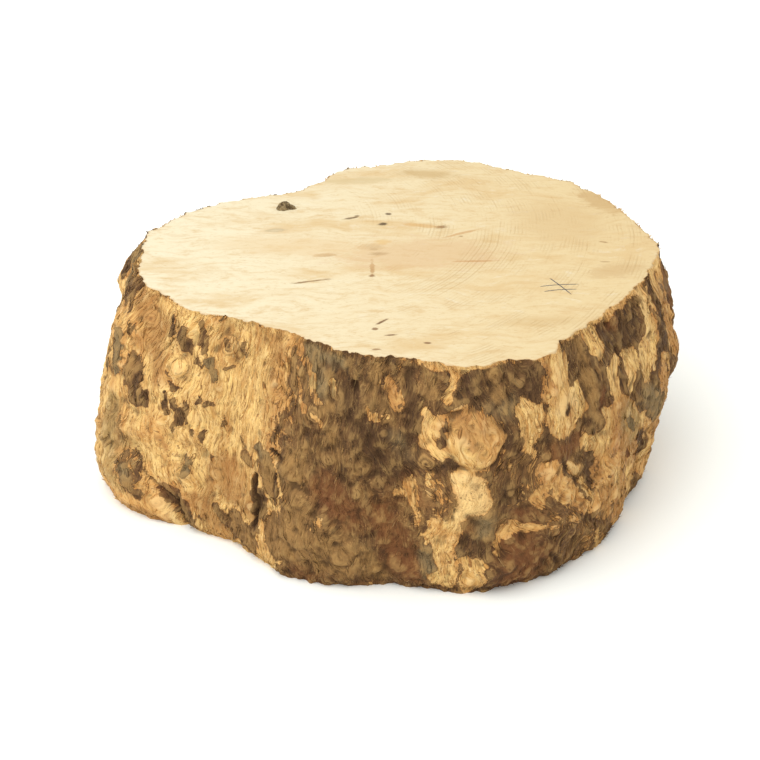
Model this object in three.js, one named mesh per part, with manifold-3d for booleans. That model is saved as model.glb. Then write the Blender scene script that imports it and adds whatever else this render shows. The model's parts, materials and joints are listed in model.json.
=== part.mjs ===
// A thick slice sawn across a root burl, standing on its lower cut. The two cuts are flat. The wall between them
// is the burl's natural outside: it swells, it has flutes that run up it, and it is covered with knobs.
// Millimetres, +Z up. The origin is under the middle of the slice, on the surface that it stands on.
import * as THREE from "three";
import Module from "manifold-3d";

// Driving dimensions.
const HEIGHT = 156; // between the two cuts
const SEGMENTS = 168; // round the wall
const ROWS = 26; // up the wall
const FOOT_ROUNDING = 5; // how far the worn lower edge is drawn in
const FOOT_ROUNDING_HEIGHT = 9;

// The edge of each cut, as [direction in degrees anticlockwise from +X, distance from the burl's axis].
// The upper one has notches at 203 and 233, a corner at 302 and a deep bay at 120.
const UPPER_EDGE = [
  [2, 175], [16, 170], [39, 170], [58, 160], [69, 162], [80, 157], [94, 145], [106, 141], [114, 128], [128, 121],
  [140, 135], [152, 151], [163, 163], [170, 169], [179, 168], [188, 170], [197, 168], [203, 160], [211, 156],
  [220, 142],
  [233, 131], [247, 133], [261, 142], [273, 145], [285, 160], [293, 160], [302, 169], [309, 158], [322, 155],
  [338, 160], [350, 166],
];
const LOWER_EDGE = [
  [0, 166], [30, 156], [60, 148], [90, 142], [112, 130], [130, 140], [150, 168], [170, 192], [191, 203], [201, 200],
  [209, 187], [217, 168], [231, 163], [244, 170], [257, 166], [270, 166], [286, 178], [300, 180], [315, 178],
  [335, 173],
];
// How far the wall stands out beyond a straight line between the two edges, and how high up it does so most.
const SWELL = [[0, 15], [25, 15], [60, 14], [120, 12], [180, 13], [215, 8], [270, 9], [300, 10], [320, 14], [340, 17]];
const SWELL_PEAK = 0.55; // as a share of the height

// Large knobs and hollows, as [direction, height of its middle, radius, rise]. A negative rise is a hollow.
const KNOBS = [
  [285, 110, 25, 7], // the great round knob in front
  [275, 95, 10, 3], // the ringed eye at its lower left
  [293, 22, 26, 6], // the smooth dome at the foot
  [284, 72, 18, 3],
  [353, 95, 20, 7], // the ear at the right
  [329, 139, 20, -5], // the torn hollow under the upper edge
  [320, 138, 12, 3],
  [307, 114, 16, 3],
  [270, 126, 14, 3],
  [258, 137, 9, -4], // a hole among the lumps of bark
  [262, 112, 24, 3],
  [252, 30, 24, 4],
  [237, 74, 13, 4], // the folded lump above the step
  [239, 40, 15, -6], // the recess beside the step
  [231, 44, 16, 3],
  [204, 28, 24, 4],
  [172, 131, 29, 14], // the bark that stands out under the upper edge at the left
  [214, 104, 28, 3],
  [30, 84, 26, 6],
  [62, 50, 24, 5],
  [88, 102, 28, 5],
  [122, 84, 22, -5],
  [148, 58, 26, 5],
  [168, 104, 24, 5],
];
// Small knobs, scattered over the whole wall.
const SMALL_KNOBS = { count: 150, seed: 11, radius: [8, 14], rise: [1.2, 3.2], margin: 10 };

// Flutes, as [how many go round, depth, turn at the bottom, lean], the last two in radians.
const FLUTES = [[7, 1.6, 0.4, 0.9], [11, 1.3, 2.0, -0.7], [17, 1.1, 4.4, 1.1], [26, 0.8, 1.3, -1.4]];

// The split near the foot, where a flap of wood has lifted: a groove from one point to another on the wall.
const SPLIT = { from: [205, 52], to: [216, 2], width: 7, depth: 7 };

// The scrap of bark that grew into the wood and stands out of the upper cut.
const POCKET = { direction: 138.5, distance: 103.5, length: 15, width: 11, rise: 6, sunk: 3 };

const wasm = await Module();
wasm.setup();

const radians = (degrees) => (degrees * Math.PI) / 180;

// A smooth closed line through [direction, value] points, read at any direction.
function aroundFrom(points) {
  const turn = 360;
  const count = points.length;
  const at = (i) => {
    const lap = Math.floor(i / count);
    const [direction, value] = points[i - lap * count];
    return [direction + lap * turn, value];
  };
  return (direction) => {
    let d = ((direction % turn) + turn) % turn;
    if (d < points[0][0]) d += turn;
    let i = 0;
    while (at(i + 1)[0] <= d) i += 1;
    const [x0, y0] = at(i - 1);
    const [x1, y1] = at(i);
    const [x2, y2] = at(i + 1);
    const [x3, y3] = at(i + 2);
    const share = (d - x1) / (x2 - x1);
    const slope1 = ((y2 - y0) / (x2 - x0)) * (x2 - x1);
    const slope2 = ((y3 - y1) / (x3 - x1)) * (x2 - x1);
    const s2 = share * share;
    const s3 = s2 * share;
    return (2 * s3 - 3 * s2 + 1) * y1 + (s3 - 2 * s2 + share) * slope1 + (3 * s2 - 2 * s3) * y2 + (s3 - s2) * slope2;
  };
}

// Random numbers from 0 to 1, the same on every run.
function drawsFrom(seed) {
  let state = seed;
  return () => {
    state = (state * 1664525 + 1013904223) % 4294967296;
    return state / 4294967296;
  };
}

const upperEdge = aroundFrom(UPPER_EDGE);
const lowerEdge = aroundFrom(LOWER_EDGE);
const swell = aroundFrom(SWELL);

function scatteredKnobs({ count, seed, radius, rise, margin }) {
  const draw = drawsFrom(seed);
  const between = ([low, high]) => low + (high - low) * draw();
  return Array.from({ length: count }, () => [
    between([0, 360]),
    between([margin, HEIGHT - margin]),
    between(radius),
    between(rise),
  ]);
}

const allKnobs = [...KNOBS, ...scatteredKnobs(SMALL_KNOBS)];

// The shortest way round from one direction to another, in degrees.
const turnBetween = (a, b) => ((((a - b) % 360) + 540) % 360) - 180;

function knobRelief(direction, height, girth) {
  let sum = 0;
  for (const [knobDirection, knobHeight, radius, rise] of allKnobs) {
    const along = radians(turnBetween(direction, knobDirection)) * girth;
    const up = height - knobHeight;
    const reach = (along * along + up * up) / (radius * radius);
    if (reach < 1) sum += rise * (1 - reach) ** 2;
  }
  return sum;
}

function fluteRelief(direction, share) {
  const angle = radians(direction);
  const flute = ([count, depth, turn, lean]) => depth * Math.cos(count * angle + turn + lean * share);
  return FLUTES.reduce((sum, row) => sum + flute(row), 0);
}

function splitRelief(direction, height, girth) {
  const { from, to, width, depth } = SPLIT;
  const length = Math.hypot(radians(to[0] - from[0]) * girth, to[1] - from[1]);
  const [dirX, dirZ] = [(radians(to[0] - from[0]) * girth) / length, (to[1] - from[1]) / length];
  const [x, z] = [radians(turnBetween(direction, from[0])) * girth, height - from[1]];
  const along = Math.min(Math.max(x * dirX + z * dirZ, 0), length);
  const off = Math.hypot(x - along * dirX, z - along * dirZ);
  return off < width ? -depth * (1 - off / width) : 0;
}

// The wall's distance from the axis.
function wallRadius(direction, height) {
  const share = height / HEIGHT;
  const straight = lowerEdge(direction) + (upperEdge(direction) - lowerEdge(direction)) * share;
  const bow = share < SWELL_PEAK ? share / SWELL_PEAK : (1 - share) / (1 - SWELL_PEAK);
  const girth = straight + swell(direction) * Math.sin((bow * Math.PI) / 2);
  const toEdge = Math.min(1, (1 - share) * 6); // the relief fades out at the upper cut, whose outline is given
  const foot = Math.max(0, 1 - height / FOOT_ROUNDING_HEIGHT);
  const relief = knobRelief(direction, height, girth) + fluteRelief(direction, share);
  return girth + relief * toEdge + splitRelief(direction, height, girth) - FOOT_ROUNDING * foot * foot;
}

function sliceGeometry() {
  const positions = [];
  const faces = [];
  for (let row = 0; row <= ROWS; row += 1) {
    const height = (HEIGHT * row) / ROWS;
    for (let segment = 0; segment < SEGMENTS; segment += 1) {
      const direction = (360 * segment) / SEGMENTS;
      const radius = wallRadius(direction, height);
      positions.push(radius * Math.cos(radians(direction)), radius * Math.sin(radians(direction)), height);
    }
  }
  const at = (row, segment) => row * SEGMENTS + (segment % SEGMENTS);
  const lowerMiddle = positions.length / 3;
  const upperMiddle = lowerMiddle + 1;
  positions.push(0, 0, 0, 0, 0, HEIGHT);
  for (let segment = 0; segment < SEGMENTS; segment += 1) {
    for (let row = 0; row < ROWS; row += 1) {
      const [a, b] = [at(row, segment), at(row, segment + 1)];
      const [c, d] = [at(row + 1, segment + 1), at(row + 1, segment)];
      faces.push(a, b, c, a, c, d);
    }
    faces.push(lowerMiddle, at(0, segment + 1), at(0, segment));
    faces.push(upperMiddle, at(ROWS, segment), at(ROWS, segment + 1));
  }
  const geometry = new THREE.BufferGeometry();
  geometry.setAttribute("position", new THREE.Float32BufferAttribute(positions, 3));
  geometry.setIndex(faces);
  return geometry;
}

// A lumpy scrap, sunk into the cut so that it is one with the wood.
function pocketGeometry() {
  const { direction, distance, length, width, rise, sunk } = POCKET;
  const geometry = new THREE.SphereGeometry(1, 14, 8);
  geometry.scale(length / 2, width / 2, (rise + sunk) / 2);
  const position = geometry.attributes.position;
  for (let i = 0; i < position.count; i += 1) {
    const [x, y, z] = [position.getX(i), position.getY(i), position.getZ(i)];
    const ridged = 1 + 0.18 * Math.cos((x + y) * 0.9) * Math.cos(y * 1.1);
    position.setXYZ(i, x * ridged, y * ridged, z * ridged);
  }
  geometry.translate(0, 0, HEIGHT + (rise - sunk) / 2);
  const angle = radians(direction);
  geometry.translate(distance * Math.cos(angle), distance * Math.sin(angle), 0);
  return geometry;
}

function solidOf(geometry) {
  const indexed = new Map();
  const vertices = [];
  const triangles = [];
  const { position } = geometry.attributes;
  const { index } = geometry;
  for (let i = 0; i < index.count; i += 1) {
    const v = index.getX(i);
    const key = [position.getX(v), position.getY(v), position.getZ(v)].map((value) => value.toFixed(4)).join();
    if (!indexed.has(key)) {
      indexed.set(key, vertices.length / 3);
      vertices.push(position.getX(v), position.getY(v), position.getZ(v));
    }
    triangles.push(indexed.get(key));
  }
  const whole = [];
  for (let i = 0; i < triangles.length; i += 3) {
    const [a, b, c] = triangles.slice(i, i + 3);
    if (a !== b && b !== c && c !== a) whole.push(a, b, c);
  }
  return new wasm.Manifold(
    new wasm.Mesh({ numProp: 3, vertProperties: new Float32Array(vertices), triVerts: new Uint32Array(whole) }),
  );
}

function geometryOf(solid) {
  const { vertProperties, triVerts } = solid.getMesh();
  const geometry = new THREE.BufferGeometry();
  geometry.setAttribute("position", new THREE.BufferAttribute(vertProperties, 3));
  geometry.setIndex(new THREE.BufferAttribute(triVerts, 1));
  return geometry;
}

// Puts the origin under the middle of the box that the slice fills.
function centred(geometry) {
  geometry.computeBoundingBox();
  const { min, max } = geometry.boundingBox;
  geometry.translate(-(min.x + max.x) / 2, -(min.y + max.y) / 2, -min.z);
  geometry.computeVertexNormals();
  return geometry;
}

const slice = new THREE.Mesh(
  centred(geometryOf(solidOf(sliceGeometry()).add(solidOf(pocketGeometry())))),
  new THREE.MeshStandardMaterial({ color: 0xb48a55, roughness: 0.85, metalness: 0 }),
);
slice.name = "burl_slice";

const part = new THREE.Group();
part.add(slice);
export default part;
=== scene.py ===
# The looks of a thick slice of root burl: the knobbly wall with its bark, torn fibres and eyes, and the sawn
# faces. Lengths are in millimetres until a mesh is made. A place on the wall is a direction in degrees
# anticlockwise from +X round the burl's axis, and a height above the lower cut.
import itertools
import json
import math

import bpy
import numpy as np
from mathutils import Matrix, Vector
from mathutils.bvhtree import BVHTree


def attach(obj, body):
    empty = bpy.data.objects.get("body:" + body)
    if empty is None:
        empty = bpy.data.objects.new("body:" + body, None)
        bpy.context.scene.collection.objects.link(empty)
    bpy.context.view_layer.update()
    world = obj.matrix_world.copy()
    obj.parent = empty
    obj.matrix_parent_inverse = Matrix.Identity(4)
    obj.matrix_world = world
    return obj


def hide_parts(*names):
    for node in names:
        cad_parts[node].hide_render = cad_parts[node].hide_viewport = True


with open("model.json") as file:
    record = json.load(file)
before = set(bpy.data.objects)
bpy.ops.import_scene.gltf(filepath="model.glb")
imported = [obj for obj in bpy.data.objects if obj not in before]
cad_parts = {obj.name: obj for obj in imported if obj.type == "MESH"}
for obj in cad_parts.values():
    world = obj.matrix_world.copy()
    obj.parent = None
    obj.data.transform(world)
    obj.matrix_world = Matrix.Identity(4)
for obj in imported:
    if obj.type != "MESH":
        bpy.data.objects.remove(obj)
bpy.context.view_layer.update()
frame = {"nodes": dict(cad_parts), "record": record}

MM = 0.001
NODE = "burl_slice"
BODY = "root"
AXIS = (5.51, 7.51)  # of the burl, from the middle of its box
TOP = next(mount["pos_m"][2] for mount in frame["record"]["mounts"] if mount["name"] == "top") / MM
GIRTH = 170.0  # the radius that a direction is turned into millimetres with

SEGMENTS = 860  # round the wall
ROWS = 106  # up the wall
CUT_RINGS = [1.0, 0.994, 0.984, 0.965]  # of a sawn face, as shares of its radius
SHARP_ANGLE = 62.0  # in degrees, where two faces meet in an edge

FACETS_BLURRED = (3.0, 2.5)  # how far the solid's facets are smoothed, round and up
RELIEF_LEVEL = 26.0  # over how far the relief comes out level, so that the slice keeps the solid's size
CUT_EDGE = 2.5  # how far from a cut the wall is chipped
CAVITY_REACH = 4.5
CAVITY_DEPTH = 1.3
NORMALS_BLURRED = 2.0
NO_EYE = 2.0  # how far from the nearest eye a place counts as at most, in that eye's radii

# How brightly the scene lights the upper cut and the wall, and how much they shine.
TOP_LIGHT = 1.5
WALL_LIGHT = 1.12
SPECULAR = 0.2

# What each kind of surface is: bark or bare, paler or darker, warmer, greyer.
KINDS = {
    "bark": (1.0, 0.0, 0.0, 0.0),
    "dark bark": (1.0, -0.8, 0.0, 0.0),
    "red bark": (1.0, -0.4, 0.9, 0.0),
    "grey bark": (1.0, 0.3, 0.0, 0.8),
    "worn bark": (0.95, 0.55, 0.15, 0.1),
    "patchy bark": (0.58, 0.0, 0.3, 0.1),
    "patchy wood": (0.32, -0.55, 0.35, 0.1),
    "wood": (0.0, -0.15, 0.1, 0.0),
    "pale wood": (0.0, 0.8, 0.0, 0.0),
    "orange wood": (0.0, -0.1, 0.9, 0.0),
    "brown wood": (0.0, -0.8, 0.4, 0.0),
    "grey wood": (0.0, -0.5, 0.0, 0.9),
}

# Patches of the wall, one over another, as (kind, direction and height of one end, of the other end, radius
# at each end). They cover the side that the photograph shows; the other sides are scattered.
PATCHES = [
    # the left, from its outline to the step
    ("dark bark", 171, 152, 176, 134, 8, 6),
    ("grey bark", 178, 152, 186, 128, 6, 6),
    ("bark", 185, 150, 190, 140, 4, 4),
    ("pale wood", 186, 118, 190, 96, 6, 5),
    ("pale wood", 188, 94, 194, 62, 9, 9),
    ("grey wood", 193, 50, 198, 20, 12, 14),
    ("patchy wood", 194, 80, 196, 30, 5, 6),
    ("wood", 203, 62, 226, 62, 38, 40),
    ("wood", 206, 134, 232, 124, 18, 24),
    ("brown wood", 199, 148, 206, 134, 10, 8),
    ("brown wood", 205, 128, 210, 108, 9, 7),
    ("grey bark", 196.2, 122, 197.6, 98, 4, 3.4),
    ("patchy wood", 201.6, 126, 202.4, 116, 4, 3),
    ("worn bark", 201.8, 106, 204.4, 88, 7.5, 8),
    ("dark bark", 203.8, 104, 204.6, 90, 2.4, 3),
    ("dark bark", 207, 96, 207.8, 86, 2, 1.8),
    ("grey wood", 198.4, 78, 198.6, 48, 4.5, 5),
    ("bark", 200.8, 68, 202, 58, 1.8, 1.4),
    ("grey wood", 203, 44, 206.4, 16, 12, 11),
    ("patchy bark", 205, 42, 207, 12, 8, 7),
    ("grey bark", 204.4, 36, 205.4, 28, 3, 3),
    ("worn bark", 206, 26, 207.4, 16, 3.4, 3),
    ("orange wood", 198, 12, 208, 6, 7, 9),
    ("brown wood", 203, 4, 211, 3, 4, 5),
    ("orange wood", 208, 40, 211.6, 6, 2.6, 3.6),
    ("dark bark", 208.8, 147, 210.8, 139, 1.8, 2.2),
    ("dark bark", 212.6, 143, 213.6, 133, 3, 2.2),
    ("bark", 214.2, 134, 214.4, 131, 1.6, 1.2),
    ("bark", 216.4, 150, 217.2, 141, 2.4, 1.6),
    ("bark", 217.6, 139, 219, 134, 3, 2.6),
    ("bark", 222.6, 143, 223.6, 139, 2.2, 2.2),
    ("dark bark", 227.6, 141, 228.2, 136, 2.6, 2.2),
    ("bark", 216.9, 127, 218.3, 123, 2.4, 2.4),
    ("grey bark", 220.8, 126, 222.6, 117, 3.6, 2.2),
    ("bark", 224, 124, 226.2, 127, 1.4, 1.4),
    ("bark", 230.6, 123, 231, 122.4, 1.4, 1.2),
    ("bark", 211.2, 116, 212.2, 113, 1.6, 1.4),
    ("dark bark", 213, 107, 214.6, 104, 1.8, 1.6),
    ("bark", 209.8, 106, 211, 105, 1.3, 1.1),
    ("dark bark", 219.8, 105, 220, 101, 1.6, 1.6),
    ("bark", 221.4, 103, 222.8, 101, 1.0, 0.9),
    ("bark", 212.2, 98, 212, 88, 2.2, 2.4),
    ("bark", 214.2, 95, 214.2, 78, 2, 1.4),
    ("dark bark", 215.4, 92, 214.8, 84, 1.6, 2),
    ("bark", 217, 97, 216.6, 86, 2, 1.4),
    ("bark", 218.6, 80, 219.2, 76, 1.8, 1.6),
    ("dark bark", 221, 81, 220.8, 72, 1.7, 1.3),
    ("dark bark", 222.6, 65, 222.9, 63.5, 1.7, 1.5),
    ("brown wood", 211.5, 66, 212.5, 58, 2.4, 2),
    ("bark", 225.6, 92, 225, 86, 1.1, 1.1),
    ("bark", 230.2, 85, 230.8, 82, 1.8, 1.6),
    ("bark", 236.4, 97, 237, 92, 1.8, 1.4),
    ("bark", 238, 94, 239, 92, 1.6, 1.4),
    ("brown wood", 234, 108, 235, 106, 2, 1.8),
    ("grey bark", 217.8, 57, 217.2, 46, 2.4, 2.8),
    ("brown wood", 222, 44, 222.6, 36, 3, 3),
    ("brown wood", 227, 54, 232, 40, 14, 13),
    ("brown wood", 220, 26, 226, 14, 9, 9),
    ("bark", 224.6, 27, 226.6, 16, 2.6, 2.4),
    ("worn bark", 229, 22, 234, 14, 8, 10),
    ("worn bark", 231.8, 73, 234.4, 69.5, 3, 3),
    ("red bark", 212.6, 28, 215, 19, 6, 7),
    ("dark bark", 213.8, 22, 217, 7, 6.4, 6.4),
    # the middle, from the step to the great round knob
    ("wood", 232, 142, 236, 92, 12, 10),
    ("brown wood", 237.4, 150, 238.6, 126, 8, 6),
    ("wood", 241, 152, 243, 140, 7, 6),
    ("brown wood", 241, 118, 243, 96, 12, 12),
    ("worn bark", 247, 130, 249, 92, 10, 12),
    ("patchy bark", 250, 138, 252, 120, 5, 6),
    ("patchy wood", 239.6, 136, 240.6, 90, 5, 6),
    ("patchy bark", 243.4, 142, 244.6, 88, 6, 7),
    ("dark bark", 240, 92, 247, 124, 0.8, 1.0),
    ("dark bark", 243, 92, 249, 112, 0.7, 0.9),
    ("worn bark", 246, 80, 249, 54, 12, 12),
    ("bark", 256, 108, 262, 56, 22, 24),
    ("worn bark", 244, 30, 266, 18, 16, 15),
    ("worn bark", 257, 104, 260, 100, 9, 8),
    ("worn bark", 265, 142, 268, 124, 10, 11),
    ("dark bark", 258, 132, 260, 122, 9, 8),
    ("dark bark", 262, 108, 268, 88, 12, 11),
    ("red bark", 254, 70, 260, 56, 11, 10),
    ("red bark", 266, 60, 271, 20, 9, 12),
    ("dark bark", 272.5, 152, 273.5, 104, 4, 5),
    ("worn bark", 248, 142, 254, 126, 7, 7),
    ("grey bark", 247, 146, 252, 134, 6, 6),
    ("grey wood", 247.8, 139, 250.4, 131, 2.6, 3),
    ("patchy wood", 250, 130, 252, 124, 3, 3),
    ("grey bark", 246, 151, 256, 149, 4, 4),
    ("patchy wood", 243.6, 152, 247.6, 140, 2.6, 3),
    ("worn bark", 242.4, 142, 244.6, 126, 2.2, 3),
    ("patchy wood", 245.6, 130, 248, 118, 2, 3),
    ("wood", 254.2, 136, 254.8, 130, 2.4, 2.2),
    ("orange wood", 250.6, 117, 252, 111, 2.6, 2),
    ("dark bark", 259.5, 138, 259.7, 136, 3, 3),
    ("orange wood", 263.4, 126, 265.4, 118, 2, 2),
    ("wood", 267, 122, 267.7, 119.6, 1.6, 1.6),
    ("patchy wood", 267, 140, 270, 128, 5, 5),
    ("grey bark", 236.6, 84, 238.6, 80, 4, 4),
    ("worn bark", 239.4, 74, 240.4, 58, 6, 6),
    ("dark bark", 235.8, 62, 236, 24, 2.2, 2.6),
    ("dark bark", 237.2, 50, 237, 36, 4, 4.6),
    ("dark bark", 241.9, 70, 241.6, 51, 1.6, 1.4),
    ("dark bark", 240.2, 84.5, 242.6, 80.5, 1.8, 1.6),
    ("worn bark", 246, 48, 247, 42, 4, 4),
    ("orange wood", 271.4, 79, 272, 72, 2, 3.4),
    ("grey bark", 275.6, 28, 276.5, 14, 4, 4),
    # the knob and what lies round it
    ("bark", 278, 146, 291, 142, 9, 10),
    ("patchy wood", 284, 114, 286, 110, 18, 18),
    ("patchy wood", 279, 118, 281, 104, 7, 8),
    ("brown wood", 284, 122, 287, 118, 6, 6),
    ("wood", 281, 112, 283, 103, 5, 5),
    ("orange wood", 287.6, 110, 288.6, 104, 7, 7),
    ("wood", 276.2, 124, 276.4, 108, 3.6, 5.6),
    ("orange wood", 275.4, 108, 277, 104, 4, 5),
    ("wood", 277, 103.6, 285, 97.5, 2.4, 2),
    ("dark bark", 279.3, 122, 278.8, 108, 1.2, 1.6),
    ("dark bark", 291.9, 122, 291.8, 100, 1.6, 1.6),
    ("wood", 281.8, 152, 280, 136, 2.6, 2.8),
    ("bark", 279, 141, 278, 133, 2.8, 3),
    ("worn bark", 276, 148, 277.4, 138, 5, 5),
    ("dark bark", 284.6, 147, 286, 138, 5.5, 6),
    ("worn bark", 289.4, 152, 289.8, 136, 4.4, 4),
    ("pale wood", 284, 155, 281, 154, 3, 2.6),
    ("orange wood", 276.8, 155, 282.6, 154, 3, 2.4),
    ("dark bark", 293.4, 150, 296.6, 138, 6, 7),
    ("worn bark", 275.6, 95, 275.9, 95, 6.6, 6.6),
    ("dark bark", 278.4, 96, 280.6, 93, 2.4, 3),
    ("dark bark", 292.4, 112, 293, 98, 2, 3),
    ("wood", 296.6, 127, 295.6, 101, 7.5, 3),
    ("wood", 298, 128, 297.4, 122, 4, 4),
    ("dark bark", 300.4, 128, 299.4, 106, 4.2, 3.6),
    ("patchy bark", 277.5, 86, 278, 62, 7, 7),
    ("wood", 276.6, 84, 276.8, 80, 2, 2),
    ("pale wood", 282.6, 87, 283.6, 84, 6, 6),
    ("pale wood", 284, 80, 284.6, 70, 9.5, 10),
    ("pale wood", 282.8, 64, 281, 52, 5.6, 4),
    ("wood", 278.4, 50, 279, 12, 8, 9),
    ("wood", 284.6, 24, 284.6, 8, 6.5, 6.5),
    ("orange wood", 278, 50, 280, 44, 5, 5),
    ("grey bark", 275.8, 35, 276.8, 20, 3, 3.4),
    ("grey bark", 286.8, 56, 286.6, 50, 6.6, 6),
    ("dark bark", 285.6, 42, 286, 34, 4, 3),
    ("orange wood", 288.6, 34, 291.6, 46, 2.6, 4.4),
    ("orange wood", 291.2, 48, 299, 46, 5, 5),
    ("patchy bark", 290.4, 90, 294, 66, 8, 10),
    ("dark bark", 290.6, 80, 291.6, 70, 5, 6),
    ("patchy wood", 297, 88, 299.4, 56, 6, 8),
    ("red bark", 294, 58, 300, 50, 5, 5),
    ("red bark", 294, 30, 294.6, 14, 14, 15),
    # the right
    ("bark", 313, 60, 320, 100, 40, 40),
    ("worn bark", 314, 92, 326, 70, 16, 20),
    ("patchy wood", 318, 80, 330, 40, 20, 24),
    ("patchy wood", 340, 90, 346, 50, 16, 20),
    ("wood", 336, 56, 340, 34, 5, 6),
    ("red bark", 301.5, 97, 308, 96, 6.5, 6),
    ("wood", 302, 152, 303.6, 134, 13, 11),
    ("patchy wood", 300.4, 146, 301, 134, 5, 5),
    ("pale wood", 304, 150, 304.4, 138, 5, 6),
    ("wood", 303.4, 119, 308.8, 117.6, 12.6, 11.6),
    ("pale wood", 303, 124, 308, 122, 5, 6),
    ("dark bark", 304.8, 118.8, 306.2, 118.2, 1.3, 1.1),
    ("dark bark", 298.2, 152, 297.4, 136, 5, 5),
    ("bark", 311.6, 154, 313.2, 134, 8, 6.5),
    ("worn bark", 313.4, 150, 314, 98, 4.4, 5),
    ("dark bark", 311.6, 104, 312.4, 98, 3, 3),
    ("red bark", 317, 118, 316.4, 106, 3, 3),
    ("wood", 318, 150, 318.8, 145, 8, 7),
    ("wood", 318.2, 141, 318.2, 136, 3.6, 3),
    ("dark bark", 325, 142, 334, 136, 9, 9),
    ("wood", 321, 124, 325.6, 127, 4, 3.6),
    ("wood", 321.6, 120, 321.4, 111, 6, 5),
    ("orange wood", 319.6, 104, 323, 103, 3, 3),
    ("dark bark", 325.2, 121, 325, 104, 1.6, 2),
    ("wood", 329.4, 122, 327.8, 106, 6, 5),
    ("wood", 331, 124, 331.6, 114, 2.6, 2.4),
    ("wood", 317, 103, 316.2, 84, 3.6, 2.6),
    ("wood", 317.8, 93, 316.8, 82, 3, 3),
    ("brown wood", 321.6, 96, 330, 62, 12, 16),
    ("grey wood", 324, 92, 329, 74, 8, 10),
    ("orange wood", 319, 70, 322, 56, 3, 4),
    ("wood", 333, 76, 336, 60, 4, 5),
    ("grey bark", 325.4, 88, 327.4, 76, 3.4, 4),
    ("wood", 313.6, 92, 315, 84, 2.4, 3),
    ("red bark", 325.4, 62, 326, 58, 1.8, 1.8),
    ("wood", 311.2, 90, 312, 82, 6, 5),
    ("wood", 309.8, 95, 310.2, 91, 2.4, 2.4),
    ("wood", 312.8, 80, 313.6, 77, 1.4, 1.2),
    ("wood", 315, 79, 315.4, 77, 1.5, 1.2),
    ("dark bark", 310.8, 78, 312.6, 60, 4.6, 5),
    ("orange wood", 300.6, 88, 308.6, 52, 4.4, 6.4),
    ("brown wood", 304, 58, 308, 50, 4, 4),
    ("orange wood", 301.6, 70, 306, 50, 4, 5),
    ("pale wood", 304.4, 86, 307, 76, 2.6, 4.2),
    ("dark bark", 302.4, 91, 303.6, 80, 1.8, 1.4),
    ("dark bark", 303.6, 80, 310.4, 52, 0.9, 1.2),
    ("brown wood", 299.6, 80, 304, 60, 1.4, 1.6),
    ("wood", 308.6, 66, 311.6, 50, 1.4, 1.6),
    ("dark bark", 300.4, 60, 304.6, 50, 1.2, 1.6),
    ("patchy wood", 314.6, 68, 318, 34, 9, 12),
    ("orange wood", 315, 74, 316, 56, 2.4, 3.4),
    ("orange wood", 312.6, 48, 316, 34, 3, 4),
    ("wood", 320, 56, 323, 30, 3, 4.4),
    ("patchy bark", 303, 46, 310, 12, 12, 14),
    ("orange wood", 308, 50, 312, 40, 2.4, 3),
    ("patchy wood", 318, 40, 324, 16, 9, 10),
    ("wood", 327, 46, 332, 24, 4, 5),
    ("bark", 305, 30, 308, 14, 6, 7),
    ("dark bark", 301.4, 21, 303, 11, 2.4, 2.8),
    ("dark bark", 332, 64, 337, 46, 5, 5),
    ("dark bark", 322, 149, 325, 138, 5, 5),
    ("red bark", 324.8, 151, 328.4, 147, 4, 4),
    ("orange wood", 320, 156, 333, 155, 3, 3.4),
    ("dark bark", 347, 150, 345, 112, 6, 6),
    ("pale wood", 341.4, 156, 340.4, 142, 5.4, 4.6),
    ("pale wood", 340.2, 140, 338.6, 119, 4.2, 1.6),
    ("dark bark", 344, 118, 336.5, 92, 5, 5),
    ("pale wood", 339.4, 108, 338.8, 103, 2.6, 2),
    ("patchy wood", 352.8, 128, 351, 98, 9, 9),
    ("pale wood", 349.8, 130, 348.6, 104, 1.8, 1.8),
    ("pale wood", 351, 156, 359, 155.5, 4, 5),
    ("grey bark", 334, 92, 340, 70, 8, 8),
]

# How much bark the wall keeps in each direction, before its patches.
BARK_SHARE = [(0, 0.5), (60, 0.42), (120, 0.55), (165, 0.5), (190, 0.3), (238, 0.2), (252, 0.75),
              (276, 0.75), (300, 0.6), (345, 0.5)]

# Where the upper edge is torn, as (direction, millimetres each way).
TORN_RIM = [(282, 26), (318, 30), (334, 34)]

# Eyes, as (direction, height, radius, rise, how plain its rings are).
EYES = [
    (285.2, 111, 17.5, 0.9, 0.14),
    (281.6, 118, 2.6, -1.2, 0.5),
    (283.4, 108.5, 2.2, -1.0, 0.6),
    (287.4, 115, 2.8, -1.2, 0.5),
    (286.2, 104.5, 2.0, -0.8, 0.6),
    (289.2, 109, 2.2, -1.0, 0.4),
    (284.6, 122, 2.0, -0.8, 0.5),
    (275.5, 95, 6.2, 1.6, 0.5),
    (224, 139, 6.5, 1.2, 0.5),
    (227.6, 138.5, 3.5, 0.8, 0.4),
    (218.4, 127, 4.0, 0.8, 0.3),
    (202, 138, 7.0, 0.8, 0.2),
    (257.5, 43, 7.5, 1.8, 0.12),
    (250.8, 117, 6.5, 1.5, 0.35),
    (270, 138, 7, 1.0, 0.2),
    (262, 88, 6, 1.5, 0.08),
    (255, 92, 5, 1.5, 0.08),
    (248, 60, 6, 1.2, 0.08),
    (258, 24, 7, 1.6, 0.08),
    (270, 20, 8, 1.6, 0.08),
    (306, 30, 7, 0.8, 0.2),
    (311.5, 86, 4.5, 0.8, 0.5),
    (319, 150, 5, 0.6, 0.5),
    (308.6, 117, 5, 0.6, 0.4),
]
SCATTERED_EYES = {"tries": 210, "radius": (2.4, 6.6), "rise": (0.7, 2.2), "rings": (0.0, 0.16), "seed": 5}

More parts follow.
